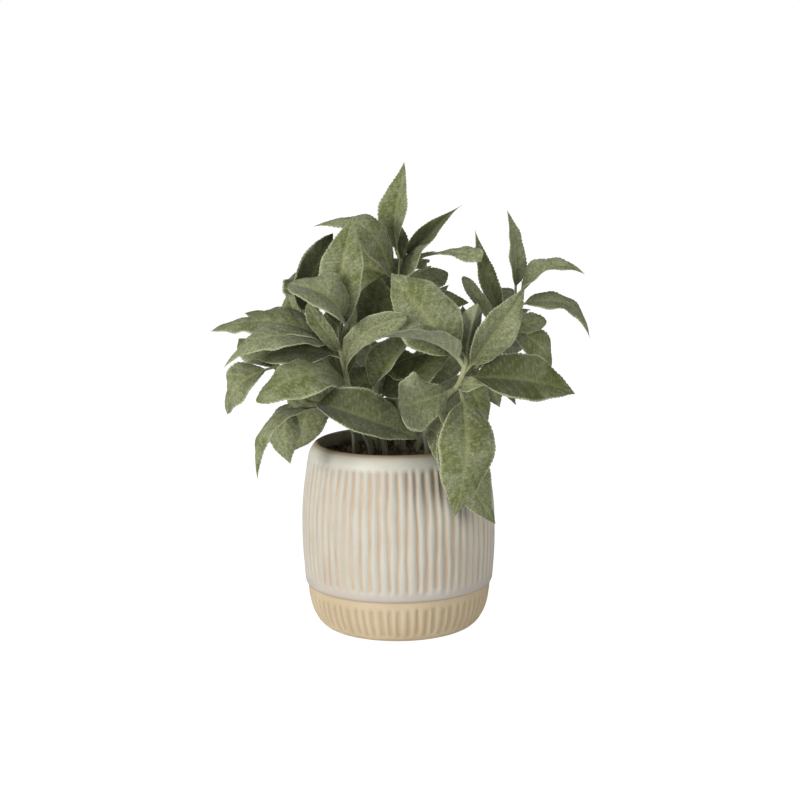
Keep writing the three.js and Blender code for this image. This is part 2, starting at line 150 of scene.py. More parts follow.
# What is finer than in the solids: rows and columns of points, teeth, ruffles, quilting and veins
STALK_ROWS = 7
COLUMNS = 14
BLADE_END = 0.994
BLADE_THICKNESS = 0.5
THINNER_EDGE = 0.35
STALK_FADE = 0.25
STALK_END = 1.3
STALK_BLEND = 0.5
STALK_SQUEEZE = 0.93
TIP_THINNING = 20
TIP_THINNEST = 0.3
FULL_BLADE = 4
TIP_HALF_WIDTH = 0.12
TOOTH_PITCH = 1.9
TOOTH_DEPTH = 0.45
TOOTH_RANGE = (0.1, 1.6)
TOOTH_SHAPE = np.array([-0.6, 0.35, 0.5])
STEPS_PER_TOOTH = 3
FEWEST_TEETH = 6
EDGE_WANDERS = [{"size": 0.05, "waves": (7, 12)}, {"size": 0.025, "waves": (18, 30)}]
WANDER_START = (0, 6)
RUFFLES = [{"size": 0.42, "length": 1.9, "slant": 2}, {"size": 0.4, "length": 3.3, "slant": -3}]
RUFFLE_DRAWS = 4
RUFFLE_RISE = 2.5
PILLOW = 0.28
FEWEST_VEIN_PAIRS = 4
VEIN_SPACING = 12
VEIN_SLANT = 1.9
VEIN_STAGGER = 0.25
VEIN_WIDTH = 0.2
QUILT_DEPTH = 0.6
QUILT_ROUNDNESS = 0.7
QUILT_LEVEL = 0.6
QUILT_FADE = 5
RIB_WIDTH = 0.7
RIB_THINNEST = 0.3
RIB_GROOVE = 0.3
RIB_GROOVE_FADE = 0.6
RIB_RAISED = 0.5
RIB_TONE = 0.85
RIB_TONE_FADE = 0.5
SIDE_VEIN_TONE = 0.75
GREY_TONE = 0.7
TONE_RANGE = 0.3
SEEDS_PER_STEM = 1000

# Leaves that grow in pairs. A range is the least share and what a draw can add.
TOP_PAIR_SIZE = 0.72
TOP_PAIR_CLOSING = 18
PAIR_ARCH = 9
PAIR_FOLD = -8
PAIR_FACE_LEAN = 0.2
TURN_RANGE = 24
LENGTH_RANGE = (0.9, 0.2)
WIDTH_RANGE = (0.92, 0.16)
DRAW_FACTOR = 1664525
DRAW_STEP = 1013904223
DRAW_SPAN = 2**32

# A leaf is [share of the stem's length, tip, width, face, arch at a third, arch at two thirds,
# sway, fold, twist, taper]: its upper side looks along face, and the angles are in degrees.
# Sway may be a pair, at a third and at two thirds, and fold a pair, one for each half of the blade.
# Counted from 0, grey lists the leaves painted paler and greyer, and the list after it the leaves that get
# painted shade, as they stand in the shade of others.
DRAWN_STEMS = [
    {
        "name": "leafy_stem_front_left",
        "grey": [1, 2, 6, 7],
        "painted_shade": [4],
        "route": [
            [-15, -10, 100], [-19, -18, 117], [-26, -30, 143], [-30, -32, 167], [-30, -31, 178],
            [-30, -31, 188],
        ],
        "leaves": [
            [0.47, [-75, -60, 141], 28, [-3, -7, 7], 27, 22, 0, -12, 0, 0.7],
            [0.47, [6, -63, 186], 14, [-3, -9, 3], 6, 6, [25, 13], 10, 50, 0.45],
            [0.77, [-93, -45, 157], 20, [-4, -6, 9], 14, 28, 0, -12, 0],
            [0.75, [-102, -20, 174], 26, [0, -5, 10], 21, 15, 0, -10, 0],
            [0.72, [-78, -30, 160], 26, [0, -6, 9], 8, 8, 0, -10, 0],
            [0.76, [-47, -50, 192], 11, [-4, -8, 4], 2, 2, 0, 10, 0, 0.7],
            [0.78, [-21, -38, 188], 8, [4, -8, 4], 2, 2, 0, 10, 0],
            [0.9, [-57, -44, 202], 30, [-2, -8, 7], 20, 28, 0, [-14, 30], 0, 0.65],
            [0.82, [-22, -37, 237], 26, [-1, -10, 1], 6, 4, 3, 12, 0],
        ],
    },
    {
        "name": "leafy_stem_left",
        "grey": [1, 2],
        "painted_shade": [1],
        "route": [
            [-24, -1, 100], [-25, -18, 118], [-34, -32, 128], [-42, -40, 135], [-54, -42, 140],
            [-62, -38, 150], [-65, -34, 158],
        ],
        "leaves": [
            [0.6, [-74, -72, 101], 15, [-6, -5, 9], 18, 31, 0, -24, 0],
            [0.72, [12, -58, 119], 30, [1, -10, 3], 20, 14, 0, [40, -5], 0],
            [0.8, [-58, -45, 104], 19, [-2, -10, 1], 5, 5, -5, -10, 0],
            [1, [-93, -30, 129], 25, [-3, -8, 6], 17, 15, 0, [-10, 12], 0],
            [0.95, [-88, -6, 168], 20, [-2, -5, 9], 6, 5, 0, -10, 0],
        ],
    },
    {
        "name": "leafy_stem_front_right",
        "grey": [1, 6, 8],
        "painted_shade": [3],
        "route": [
            [17, -10, 100], [16, -26, 118], [25, -46, 138], [33, -57, 148], [36, -58, 156], [38, -57, 164],
        ],
        "leaves": [
            [0.84, [29, -72, 79], 31, [1, -10, 1], 14, 10, 6, [-5, -22], 0],
            [0.8, [1, -78, 141], 29, [0, -9, 6], -3, -6, 0, [30, -25], 0, 0.35],
            [0.82, [46, -66, 149], 9, [0, -8, 6], 2, 2, 0, -10, 0],
            [0.88, [95, -62, 143], 30, [1, -8, 6], 4, 6, 3, 6, 0],
            [0.94, [-9, -80, 177], 22, [1, -5, 10], 13, 9, 0, [0, 58], 0],
            [0.96, [-2, -42, 207], 34, [-1, -10, 3], 6, 9, 0, -6, 0],
            [0.98, [44, -60, 192], 19, [-3, 10, 1], 3, 3, 0, 30, 0],
            [0.98, [36, -46, 186], 14, [2, -10, 0], 2, 3, 0, 12, 0],
            [0.9, [69, -50, 198], 21, [2, -10, 1], 4, 5, 0, 12, 0],
            [0.3, [27, -62, 90], 13, [-3, -10, 2], 18, 14, 12, -10, 0],
            [0.55, [53, -50, 70], 27, [4, -10, 1], 10, 8, -6, -8, 0],
        ],
    },
    {
        "name": "leafy_stem_right",
        "grey": [0, 2, 3, 4, 6],
        "painted_shade": [1],
        "route": [[12, 6, 100], [30, 2, 130], [53, -5, 162], [64, -11, 182], [67, -13, 192]],
        "leaves": [
            [1, [62, -12, 238], 13, [6, -8, 0], 2, 2, [0, -4], 14, 0, 1.4],
            [0.86, [44, -22, 228], 12, [3, -10, 0], 3, 3, [5, 3], 14, 0, 1.5],
            [1, [104, -25, 203], 18, [10, -6, 8], 6, 22, 0, 14, 0, 1.3],
            [0.95, [107, -20, 167], 19, [0, -4, 10], 12, 26, 0, -8, 0, 1.4],
            [0.82, [84, -12, 176], 12, [-3, -8, 2], 3, 3, 0, 10, 0, 0.7],
            [0.86, [87, -8, 150], 19, [3, -9, 4], 8, 12, 0, -10, 0],
            [0.8, [38, 6, 200], 8, [0, -10, 3], 3, 3, 0, 10, 0, 0.6],
            [0.55, [57, -24, 130], 17, [2, -9, 4], 6, 6, 0, -8, 0],
            [0.5, [50, -34, 122], 16, [-2, -9, 4], 7, 7, 0, -8, 0],
            [0.9, [60, 42, 184], 20, [0, -3, 9], 6, 6, 0, -8, 0],
            [0.82, [62, 36, 190], 24, [0, -3, 9], 8, 8, 0, -8, 0],
            [0.66, [70, 40, 150], 23, [-2, -3, 9], 8, 8, 0, -8, 0],
        ],
    },
    {
        "name": "leafy_stem_middle",
        "grey": [4, 8],
        "painted_shade": [2, 7],
        "route": [[3, 8, 100], [1, 5, 142], [1, 0, 182], [4, -5, 212]],
        "leaves": [
            [1, [6, -5, 265], 20, [-3, -10, 1], 2, 2, [8, 0], [36, 5], 0, 1.3],
            [0.99, [4, 4, 229], 9, [0, -10, 3], 1, 1, 0, 10, 0],
            [0.99, [38, -8, 241], 20, [-3, -9, 1], 3, 4, 2, [35, 58], 0, 2.2],
            [0.85, [-45, -8, 230], 21, [-1, -7, 8], 13, 54, 0, -10, 0],
            [0.96, [48, -32, 214], 10, [0, -1, 10], 9, 6, 0, 0, 130, 0.3],
            [0.9, [-30, 4, 213], 26, [-2, -9, 4], 5, 5, 0, -8, 0],
            [0.86, [19, -20, 221], 20, [-2, -5, 8], 4, 4, 0, -8, 0],
            [0.75, [41, -12, 187], 20, [0, -8, 6], 5, 6, 0, -8, 0],
            [0.8, [30, 8, 202], 15, [0, -9, 3], 4, 4, 0, 10, 0, 0.8],
            [0.9, [14, 40, 205], 22, [0, -4, 9], 8, 8, 0, -8, 0],
            [0.86, [-32, 30, 206], 24, [3, -2, 9], 8, 8, 0, -8, 0],
            [0.74, [-10, 42, 204], 25, [1, -3, 9], 8, 8, 0, -8, 0],
            [0.32, [-34, 18, 139], 24, [-1, -8, 5], 8, 8, 0, -8, 0],
            [0.34, [44, 14, 158], 26, [1, -8, 5], 8, 8, 0, -8, 0],
            [0.16, [-15, 15, 124], 18, [-1, -8, 5], 6, 6, 0, -8, 0],
            [0.18, [36, 32, 119], 24, [1, -8, 5], 6, 6, 0, -8, 0],
        ],
    },
    {
        "name": "leafy_stem_centre_low",
        "painted_shade": [1, 2],
        "route": [[-7, -4, 100], [-11, -14, 122], [-12, -20, 139], [-13, -16, 160], [-14, -13, 172]],
        "leaves": [
            [0.5, [13, -30, 176], 26, [-2, -9, 5], 5, 5, [5, 0], [55, 8], 0],
            [0.5, [30, -24, 160], 22, [0, -8, 6], 5, 6, 0, -8, 0],
            [0.97, [-8, -28, 204], 30, [0, -10, 2], 6, 5, 0, 8, 0],
            [0.75, [20, -10, 150], 20, [0, -8, 6], 5, 6, 0, -8, 0],
        ],
    },
    {
        "name": "leafy_stem_back_left",
        "painted_shade": [0],
        "route": [[-11, 8, 100], [-27, 5, 131], [-40, 0, 154], [-50, -5, 169], [-55, -6, 180]],
        "leaves": [
            [1, [-34, -2, 226], 29, [6, -7, 2], 5, 6, 7, 8, 0],
            [0.95, [-60, 0, 192], 15, [-3, -8, 5], 4, 4, 0, 8, 0],
            [0.92, [-74, 8, 182], 18, [-1, -6, 8], 5, 4, 0, -8, 0],
            [0.9, [-86, 14, 180], 20, [-1, -4, 10], 6, 5, 0, -8, 0],
            [0.7, [-60, 6, 101], 27, [-2, -9, 3], 5, 6, 3, -8, 0],
            [0.97, [-54, 34, 202], 23, [2, -3, 9], 8, 8, 0, -8, 0],
            [0.72, [-84, 24, 158], 24, [1, -3, 9], 8, 8, 0, -8, 0],
            [0.45, [-40, 20, 180], 24, [-1, -8, 4], 6, 6, 0, -8, 0],
        ],
    },
]

# Stems whose leaves grow in opposite pairs, each pair a quarter turn round from the last
PAIRED_STEMS = [
    {
        "name": "leafy_stem_back",
        "route": [[0, 22, 100], [0, 34, 128], [2, 48, 155], [3, 54, 178]],
        "pairs": 3, "first": 0.4, "length": 58, "width": 25, "turn": 45, "spread": 60, "seed": 11,
    },
    {
        "name": "leafy_stem_back_right",
        "route": [[14, 18, 100], [28, 32, 122], [46, 44, 142], [56, 50, 162]],
        "pairs": 3, "first": 0.54, "length": 52, "width": 24, "turn": 45, "spread": 58, "seed": 23,
    },
    {
        "name": "leafy_stem_back_far_left",
        "route": [[-16, 18, 100], [-28, 29, 124], [-50, 44, 142], [-62, 50, 156]],
        "pairs": 3, "first": 0.42, "length": 56, "width": 25, "turn": 60, "spread": 62, "seed": 37,
    },
    {
        "name": "leafy_stem_back_low",
        "route": [[4, 32, 100], [10, 50, 114], [14, 66, 122], [15, 78, 130]],
        "pairs": 3, "first": 0.62, "length": 46, "width": 22, "turn": 0, "spread": 60, "seed": 41,
    },
]


def linear(red, green, blue):
    """A colour given as it looks on screen, 0 to 255, as linear light."""
    shares = [value / 255 for value in (red, green, blue)]
    return tuple(share / 12.92 if share < 0.04 else ((share + 0.055) / 1.055) ** 2.4 for share in shares)


# Finishes, as they look on screen under the soft box
LEAF_GREEN = linear(107, 115, 62)
LEAF_GREY = linear(147, 152, 120)
LEAF_DARK = linear(62, 70, 26)
# Painted shade: the dark green that leaf roots, and leaves in the shade of others, are painted towards
LEAF_SHADE = linear(42, 48, 10)
LEAF_FRESH = linear(132, 138, 78)
LEAF_VEIN = linear(184, 188, 140)
# Pale edge: the denser felt at a leaf's margin, with a painted rim highlight on it
LEAF_EDGE_FELT_AND_HIGHLIGHT = linear(200, 203, 168)
LEAF_HAIR = linear(200, 204, 170)
UNDER_DARK = linear(112, 118, 88)
UNDER_PALE = linear(142, 147, 118)
STEM_DARK = linear(126, 130, 84)
STEM_PALE = linear(164, 168, 124)
# Painted shade: the dark colour that stems are painted towards at their foot, low in the plant under the
# leaves
STEM_FOOT_SHADE = linear(66, 62, 40)
GLAZE_WARM = linear(196, 190, 178)
GLAZE_COOL = linear(202, 201, 190)
GLAZE_BAND = linear(216, 214, 201)
GLAZE_THIN = linear(194, 170, 146)
GLAZE_THIN_PALE = linear(204, 190, 164)
GLAZE_STEP = linear(196, 184, 177)
# Painted shadow: the thin dark line along the glaze's lowest edge, at its step
STEP_SHADE = linear(160, 146, 130)
LIP_TAN = linear(178, 154, 120)
GLAZE_INSIDE = linear(158, 150, 128)
CLAY_CREAM = linear(208, 192, 164)
CLAY_WARM = linear(200, 183, 153)
# Darker clay: the grain's specks, and painted shade in the grooves and under the glaze's step
CLAY_SPECKS_AND_SHADE = linear(160, 142, 114)
SOIL_DARK = linear(66, 57, 48)
SOIL_BROWN = linear(104, 90, 76)
SOIL_LIT = linear(124, 108, 88)
FLOOR_PALE = linear(246, 245, 243)
FLOOR_PALER = linear(250, 250, 249)

# Where the pot's finishes and its painted shadows change, as heights in millimetres
LEDGE_SHADOW_HEIGHTS = (26.2, 27.0)
STEP_LINE = (27.0, 28.0)
STEP_ROLL = (29.5, 35.5)
BAND_FOOT = (98.0, 102.0)
BAND_TOP = (104.0, 106.5)
LIP_EDGE = (106.0, 107.2)

# Places of the finishes in a piece's list of them
UPPER, UNDERSIDE, STEM_FELT = range(3)
CLAY, GLAZE = range(2)

# How far each finish's bumps reach, in metres
LEAF_RELIEF = 0.0008
UNDERSIDE_RELIEF = 0.0006
STEM_RELIEF = 0.0004
GLAZE_RELIEF = 0.0002
CLAY_RELIEF = 0.0003
SOIL_RELIEF = 0.001

# Light and floor
LIGHT_FROM = (-0.66, -0.7, 0.18)
ROOM_DIM = 0.05
ROOM_BRIGHT = 0.5
ROOM_FADE = (-0.35, 1.0)
KEY_POWER = 28.5
KEY_PLACE = (-1.5, -1.25, 0.6)
KEY_SIZE = 0.9
FILL_POWER = 18
FILL_PLACE = (1.5, -1.6, 0.5)
FILL_SIZE = 1.2
LIGHT_AIM = (0, 0, 0.13)
KEY_COLOUR = (1.0, 0.985, 0.96)
WHITE = (1.0, 1.0, 1.0)
FLOOR_GLOW = 0.85
FLOOR_WHITE = 1.2
FLOOR_REACH_MM = 40000
FLOOR_GAP = 0.05


class Wire:
    """A value in a material: sums written on it become Math nodes."""

    def __init__(self, paint, socket):
        self.paint = paint
        self.socket = socket

    def _with(self, operation, *values):
        return self.paint.node("ShaderNodeMath", {"operation": operation}, values)

    def __add__(self, other):
        return self._with("ADD", self, other)

    def __radd__(self, other):
        return self._with("ADD", other, self)

    def __sub__(self, other):
        return self._with("SUBTRACT", self, other)

    def __rsub__(self, other):
        return self._with("SUBTRACT", other, self)

    def __mul__(self, other):
        return self._with("MULTIPLY", self, other)

    def __rmul__(self, other):
        return self._with("MULTIPLY", other, self)

    def size(self):
        return self._with("ABSOLUTE", self)

    def smooth(self, low, high):
        """0 below low, 1 above high, and a smooth step between."""
        settings = {"interpolation_type": "SMOOTHSTEP"}
        return self.paint.node("ShaderNodeMapRange", settings, (self, low, high, 0.0, 1.0))


class Nodes:
    """The nodes of a material or of the world."""

    def __init__(self, tree):
        self.tree = tree

    def put(self, value, socket):
        """Gives a socket a plain value, or links a wire to it."""
        if isinstance(value, Wire):
            self.tree.links.new(value.socket, socket)
        elif isinstance(value, tuple) and socket.type == "RGBA":
            socket.default_value = (*value, 1.0)
        else:
            socket.default_value = value

    def node(self, kind, settings, values=(), output=0):
        """Adds a node: its settings first, then the values or wires of its sockets, in order."""
        made = self.tree.nodes.new(kind)
        for name, value in settings.items():
            setattr(made, name, value)
        sockets = [socket for socket in made.inputs if socket.enabled]
        for value, socket in zip(values, sockets):
            self.put(value, socket)
        shown = [socket for socket in made.outputs if socket.enabled]
        return Wire(self, shown[output])

    def mix(self, factor, first, second):
        """One colour over another."""
        settings = {"data_type": "RGBA", "blend_type": "MIX", "clamp_factor": True}
        return self.node("ShaderNodeMix", settings, (factor, first, second))

    def attribute(self, name):
        return self.node("ShaderNodeAttribute", {"attribute_name": name}, output=2)

    def place(self):
        return self.node("ShaderNodeTexCoord", {}, output=3)

    def noise(self, scale, detail, roughness, stretch=None):
        """Noise between 0 and 1, with scale in lumps per metre."""
        where = self.place()
        if stretch:
            where = self.node("ShaderNodeVectorMath", {"operation": "MULTIPLY"}, (where, stretch))
        return self.node("ShaderNodeTexNoise", {}, (where, scale, detail, roughness))

    def cells(self, scale):
        return self.node("ShaderNodeTexVoronoi", {}, (self.place(), scale))


class Paint(Nodes):
    """One material and its nodes."""

    def __init__(self, name, roughness, **uniform):
        self.material = bpy.data.materials.new(name)
        self.material.use_nodes = True
        super().__init__(self.material.node_tree)
        self.shader = self.tree.nodes["Principled BSDF"]
        self.shader.inputs["Roughness"].default_value = roughness
        for socket, value in uniform.items():
            self.shader.inputs[socket.replace("_", " ")].default_value = value

    def finish(self, colour, height=None, depth=0.0, roughness=None):
        """Feeds the shader. depth is the height's size in metres."""
        self.put(colour, self.shader.inputs["Base Color"])
        if roughness is not None:
            self.put(roughness, self.shader.inputs["Roughness"])
        if height is not None:
            bump = self.node("ShaderNodeBump", {}, (1.0, depth, 1.0, height))
            self.put(bump, self.shader.inputs["Normal"])
        return self.material


def leaf_upper_paint():
    paint = Paint("leaf_upper", 0.8, Sheen_Weight=0.16, Sheen_Roughness=0.5, Specular_IOR_Level=0.2)
    across = paint.attribute("across")
    along = paint.attribute("along")
    tone = paint.attribute("tone")
    vein = paint.attribute("vein")
    painted_shade = paint.attribute("painted_shade")
    cloud = paint.noise(110, 3.0, 0.5)
    mottle = paint.noise(520, 4.0, 0.6)
    felt = paint.noise(1700, 3.0, 0.7)
    colour = paint.mix(cloud.smooth(0.3, 0.7), LEAF_GREEN, LEAF_GREY)
    colour = paint.mix(tone * 0.8, colour, LEAF_GREY)
    colour = paint.mix(mottle.smooth(0.35, 0.7) * 0.5, colour, LEAF_DARK)
    near_rib = 1 - across.size().smooth(0.0, 0.4)
    colour = paint.mix(near_rib * (1 - along) * 0.45, colour, LEAF_FRESH)
    # Painted shade: each leaf is painted darker towards its root, where the stem and the leaves around it
    # shade it
    colour = paint.mix((1 - along.smooth(0.1, 0.6)) * 0.55, colour, LEAF_SHADE)
    # Painted shade: leaves in the shade of others are painted darker all over, most at the root, with paler
    # veins and felt toned down
    colour = paint.mix(painted_shade * (0.8 - 0.45 * along), colour, LEAF_SHADE)
    colour = paint.mix(vein * (0.5 - 0.25 * painted_shade), colour, LEAF_VEIN)
    # Pale margin: felt, and a painted rim highlight
    colour = paint.mix(across.size().smooth(0.88, 1.0) * 0.7, colour, LEAF_EDGE_FELT_AND_HIGHLIGHT)
    colour = paint.mix(felt.smooth(0.54, 0.7) * (0.45 - 0.3 * painted_shade), colour, LEAF_HAIR)
    colour = paint.mix((1 - felt.smooth(0.32, 0.48)) * 0.75, colour, LEAF_DARK)
    return paint.finish(colour, mottle * 0.5 + felt * 0.5, LEAF_RELIEF)


def leaf_under_paint():
    paint = Paint("leaf_underside", 0.86, Sheen_Weight=0.2, Sheen_Roughness=0.5, Specular_IOR_Level=0.15)
    across = paint.attribute("across")
    tone = paint.attribute("tone")
    vein = paint.attribute("vein")
    painted_shade = paint.attribute("painted_shade")
    mottle = paint.noise(420, 4.0, 0.6)
    felt = paint.noise(1900, 2.0, 0.65)
    colour = paint.mix(mottle.smooth(0.3, 0.72), UNDER_DARK, UNDER_PALE)
    colour = paint.mix(tone * 0.5, colour, LEAF_GREY)
    # Painted shade on the undersides of leaves in the shade of others
    colour = paint.mix(painted_shade * 0.45, colour, LEAF_SHADE)
    colour = paint.mix(vein * 0.5, colour, LEAF_HAIR)
    # Pale margin: felt, and a painted rim highlight
    colour = paint.mix(across.size().smooth(0.94, 1.0) * 0.4, colour, LEAF_EDGE_FELT_AND_HIGHLIGHT)
    colour = paint.mix(felt.smooth(0.5, 0.72) * 0.3, colour, LEAF_HAIR)
    return paint.finish(colour, mottle * 0.4 + felt * 0.6, UNDERSIDE_RELIEF)


def stem_paint():
    paint = Paint("stem_felt", 0.85, Sheen_Weight=0.4, Sheen_Roughness=0.6, Specular_IOR_Level=0.2)
    height = paint.attribute("along")
    streak = paint.noise(500, 4.0, 0.6, (1.0, 1.0, 0.15))
    felt = paint.noise(2600, 2.0, 0.6)
    colour = paint.mix(streak.smooth(0.3, 0.7), STEM_DARK, STEM_PALE)
    # Painted shade: each stem is painted darker towards its foot, low under the leaves
    colour = paint.mix((1 - height.smooth(0.15, 0.5)) * 0.8, colour, STEM_FOOT_SHADE)
    colour = paint.mix(felt.smooth(0.5, 0.75) * 0.3, colour, LEAF_HAIR)
    return paint.finish(colour, streak * 0.5 + felt * 0.5, STEM_RELIEF)


def glaze_paint():
    paint = Paint("off_white_glaze", 0.5, Coat_Weight=0.1, Coat_Roughness=0.35, Specular_IOR_Level=0.4)
    groove = paint.attribute("groove")
    height = paint.attribute("height")
    inside = paint.attribute("inside")
    cloud = paint.noise(45, 4.0, 0.55)
    speck = paint.noise(900, 2.0, 0.5)
    run = paint.noise(260, 3.0, 0.55, (1.0, 1.0, 0.12))
    colour = paint.mix(cloud.smooth(0.3, 0.7), GLAZE_COOL, GLAZE_WARM)
    thin = groove * (0.75 + 0.5 * run)
    worn = paint.mix(run.smooth(0.35, 0.65), GLAZE_THIN, GLAZE_THIN_PALE)
    colour = paint.mix(thin.smooth(0.4, 0.85) * 0.9, colour, worn)
    colour = paint.mix(speck.smooth(0.66, 0.8) * 0.12, colour, GLAZE_THIN)
    over_step = 1 - height.smooth(*STEP_ROLL)
    colour = paint.mix(over_step * 0.55, colour, GLAZE_STEP)
    # Painted shadow: a thin dark line along the foot of the glaze, at the step
    step_shadow = 1 - height.smooth(*STEP_LINE)
    colour = paint.mix(step_shadow * 0.8, colour, STEP_SHADE)
    band = height.smooth(*BAND_FOOT) * (1 - height.smooth(*BAND_TOP))
    colour = paint.mix(band * 0.8, colour, GLAZE_BAND)
    lip = height.smooth(*LIP_EDGE)
    colour = paint.mix(lip * 0.85, colour, LIP_TAN)
    colour = paint.mix(inside * 0.8, colour, GLAZE_INSIDE)
    gloss = 0.45 + 0.2 * groove + 0.1 * speck
    return paint.finish(colour, cloud * 0.6 + speck * 0.4, GLAZE_RELIEF, gloss)


def clay_paint():
    paint = Paint("bare_cream_clay", 0.86, Specular_IOR_Level=0.25)
    groove = paint.attribute("groove")
    height = paint.attribute("height")
    grain = paint.noise(1500, 4.0, 0.7)
    cloud = paint.noise(40, 3.0, 0.5)
    ring = paint.noise(420, 3.0, 0.6, (0.1, 0.1, 1.0))
    colour = paint.mix(cloud.smooth(0.3, 0.7), CLAY_CREAM, CLAY_WARM)
    # Painted shade in the bare clay's grooves
    colour = paint.mix(groove.smooth(0.2, 0.8) * 0.35, colour, CLAY_SPECKS_AND_SHADE)
    colour = paint.mix(grain.smooth(0.56, 0.75) * 0.3, colour, CLAY_SPECKS_AND_SHADE)
    # Painted shadow: the clay is darker just under the glaze's overhanging step
    ledge_shadow = height.smooth(*LEDGE_SHADOW_HEIGHTS)
    colour = paint.mix(ledge_shadow * 0.4, colour, CLAY_SPECKS_AND_SHADE)
    return paint.finish(colour, grain * 0.6 + ring * 0.4, CLAY_RELIEF)


def soil_paint():
    paint = Paint("potting_soil", 0.95, Specular_IOR_Level=0.15)
    grain = paint.noise(900, 6.0, 0.7)
    lump = paint.cells(420)
    colour = paint.mix(grain.smooth(0.3, 0.7), SOIL_DARK, SOIL_BROWN)
    colour = paint.mix(lump.smooth(0.3, 0.8) * 0.4, colour, SOIL_LIT)
    return paint.finish(colour, grain * 0.7 + lump * 0.3, SOIL_RELIEF)


def floor_paint():
    """A pale floor that the camera sees nearly white, with a faint shadow left."""
    paint = Paint("pale_floor", 0.9, Specular_IOR_Level=0.1)
    tone = paint.noise(3, 2.0, 0.5)
    material = paint.finish(paint.mix(tone, FLOOR_PALE, FLOOR_PALER))
    seen = paint.node("ShaderNodeLightPath", {})
    glow = paint.node("ShaderNodeEmission", {}, (WHITE, FLOOR_WHITE))
    plain = Wire(paint, paint.shader.outputs["BSDF"])
    surface = paint.node("ShaderNodeMixShader", {}, (seen * FLOOR_GLOW, plain, glow))
    paint.put(surface, paint.tree.nodes["Material Output"].inputs["Surface"])
    return material


def mesh_object(name, points, quads, paints, faces_paint, attributes):
    """A smooth-shaded mesh from points in millimetres, with a value of each attribute at each point."""
    mesh = bpy.data.meshes.new(name)
    mesh.from_pydata((np.asarray(points) * MM).tolist(), [], quads)
    for paint in paints:
        mesh.materials.append(paint)
    mesh.polygons.foreach_set("material_index", np.asarray(faces_paint, dtype=np.int32))
    mesh.polygons.foreach_set("use_smooth", np.ones(len(mesh.polygons), dtype=bool))
    for key, values in attributes.items():
        layer = mesh.attributes.new(key, "FLOAT", "POINT")
        layer.data.foreach_set("value", np.asarray(values, dtype=np.float32))
    mesh.update()
    made = bpy.data.objects.new(name, mesh)
    bpy.context.scene.collection.objects.link(made)
    return made


def tube_quads(rows, sides):
    """Quads of a closed tube whose points come row by row."""
    quads = []
    for row in range(rows - 1):
        for side in range(sides):
            here = row * sides + side
            beside = row * sides + (side + 1) % sides
            quads.append((here, beside, beside + sides, here + sides))
    return quads


def unit(vectors):
    return vectors / np.linalg.norm(vectors, axis=-1, keepdims=True)


class StemCurve:
    """A centripetal Catmull-Rom curve through a stem's route, measured by its length."""

    SAMPLES = 200

    def __init__(self, route):
        x, y, _ = route[0]
        below = [[x, y, STEM_FOOT], [x, y, SOIL_TOP - UPRIGHT_BELOW], [x, y, SOIL_TOP + UPRIGHT_ABOVE]]
        self.points = np.array(below + route[1:], dtype=float)
        line = np.array([self._at(share) for share in np.linspace(0, 1, self.SAMPLES + 1)])
        steps = np.linalg.norm(np.diff(line, axis=0), axis=1)
        self.lengths = np.concatenate([[0], np.cumsum(steps)])
        self.length = self.lengths[-1]

    def _at(self, share):
        points = self.points
        last = len(points) - 1
        place = share * last
        index = min(int(place), last - 1)
        weight = place - index
        before = points[index - 1] if index > 0 else 2 * points[0] - points[1]
        here, there = points[index], points[index + 1]
        after = points[index + 2] if index + 2 <= last else 2 * points[last] - points[last - 1]
        pairs = ((before, here), (here, there), (there, after))
        gaps = [max(np.sum((start - end) ** 2), 1e-12) ** 0.25 for start, end in pairs]
        leave = (here - before) / gaps[0] - (there - before) / (gaps[0] + gaps[1]) + (there - here) / gaps[1]
        reach = (there - here) / gaps[1] - (after - here) / (gaps[1] + gaps[2]) + (after - there) / gaps[2]
        leave, reach = leave * gaps[1], reach * gaps[1]
        cubic = 2 * here - 2 * there + leave + reach
        square = -3 * here + 3 * there - 2 * leave - reach
        return here + leave * weight + square * weight**2 + cubic * weight**3

    def at(self, share):
        """The point at a share of the whole length."""
        turn = np.interp(share * self.length, self.lengths, np.linspace(0, 1, self.SAMPLES + 1))
        return self._at(turn)

    def way(self, share):
        low, high = max(share - WAY_STEP, 0), min(share + WAY_STEP, 1)
        return unit(self.at(high) - self.at(low))

    def above_soil(self, share):
        """A share of the length above the soil, as a share of the whole length."""
        buried = (SOIL_TOP - STEM_FOOT) / self.length
        end = 1 - SUNK_ROOT / self.length
        return buried + (end - buried) * share


def seeded_draw(seed):
    """A repeatable draw between 0 and 1."""
    state = seed
    while True:
        state = (state * DRAW_FACTOR + DRAW_STEP) % DRAW_SPAN
        yield state / DRAW_SPAN


def drawn_share(draw, smallest, growth):
    """A share between the least and the most, by the next draw."""
    return smallest + growth * next(draw)


def paired_rows(stem, curve):
    """Rows for opposite pairs of leaves, each pair a quarter turn round from the last."""
    draw = seeded_draw(stem["seed"])
    rows = []
    for pair in range(stem["pairs"]):
        way = pair / (stem["pairs"] - 1)
        share = stem["first"] + (1 - stem["first"]) * way
        base = curve.at(curve.above_soil(share))
        stemway = curve.way(curve.above_soil(share))
        size = 1 + (TOP_PAIR_SIZE - 1) * way
        spread = math.radians(stem["spread"] - TOP_PAIR_CLOSING * way)
        for half in (0, 180):
            turn = math.radians(stem["turn"] + 90 * pair + half + TURN_RANGE * (next(draw) - 0.5))
            flat = np.array([math.cos(turn), math.sin(turn), 0.0])
            out = unit(flat - stemway * flat.dot(stemway))
            length = stem["length"] * size * drawn_share(draw, *LENGTH_RANGE)
            tip = base + stemway * length * math.cos(spread) + out * length * math.sin(spread)
            face = stemway - PAIR_FACE_LEAN * out
            width = stem["width"] * size * drawn_share(draw, *WIDTH_RANGE)
            rows.append([share, tip, width, face, PAIR_ARCH * size, PAIR_ARCH, 0, PAIR_FOLD, 0])
    return rows


